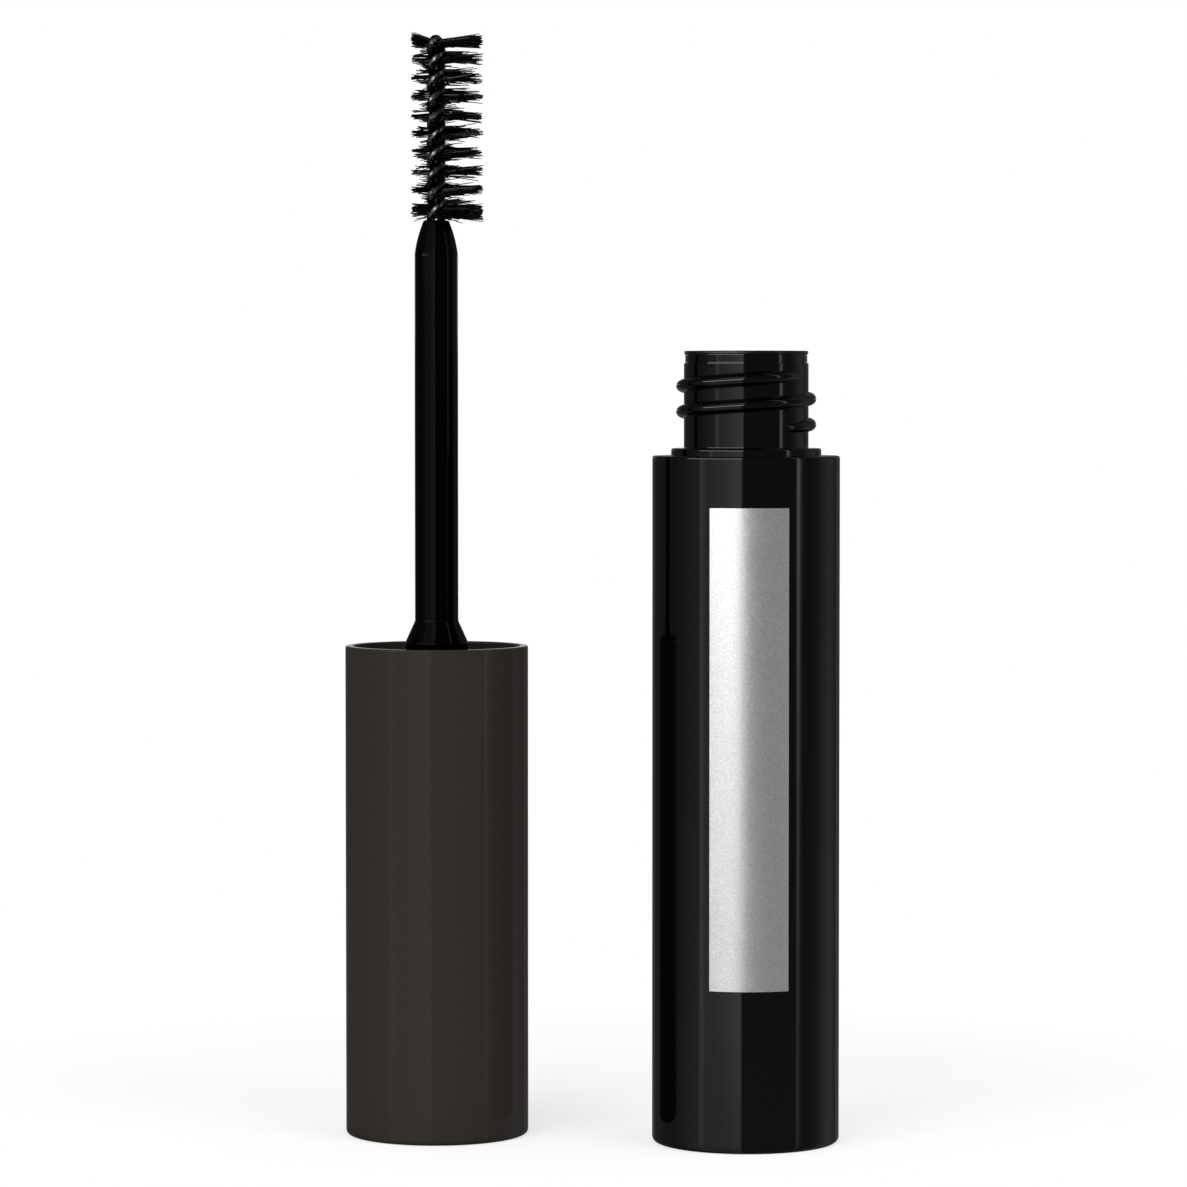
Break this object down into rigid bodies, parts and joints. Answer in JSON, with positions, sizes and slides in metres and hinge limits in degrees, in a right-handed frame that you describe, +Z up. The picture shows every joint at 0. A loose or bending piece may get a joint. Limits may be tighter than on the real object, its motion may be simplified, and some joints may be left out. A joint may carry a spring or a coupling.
{
  "type": "mascara tube",
  "caption": "Slim mascara tube, opened: bottle with threaded neck beside its upturned cap, which carries a wand with a small twisted brush.",
  "frame": {"origin": "centre of the bottle's foot, on the surface it stands on", "axes": "+Z up along the bottle, -Y towards the viewer of the foil panel, so that the cap stands on the -X side"},
  "size_m": [0.0371, 0.0178, 0.0832],
  "materials": {
    "bottle_sleeve": "high gloss black",
    "vial": "gloss black moulded",
    "wiper": "soft black polyethylene",
    "foil_panel": "hot-stamped silver foil with a fine grain",
    "overcap": "satin dark brown-grey",
    "inner_cap": "black moulded",
    "sealing_washer": "soft foam",
    "wand_stem": "gloss black moulded",
    "twisted_wire": "dark steel wire",
    "brush_bristles": "black nylon"
  },
  "bodies": {
    "bottle": {"bottle_sleeve": "bottle_sleeve", "vial": "vial", "wiper": "wiper", "foil_panel": "foil_panel"},
    "washer": {"sealing_washer": "sealing_washer"},
    "wand_cap": {"overcap": "overcap", "inner_cap": "inner_cap", "wand_stem": "wand_stem", "twisted_wire": "twisted_wire", "brush_bristles": "brush_bristles"}
  },
  "joints": [
    {"name": "cap_lift", "type": "slide", "parent": "bottle", "child": "washer", "axis": [0, 0, 1], "range_m": [0, 0.065]},
    {"name": "cap_turn", "type": "hinge", "parent": "washer", "child": "wand_cap", "pos_m": [-0.02325, 0.0039, 0], "axis": [0, 0, 1], "continuous": true}
  ]
}
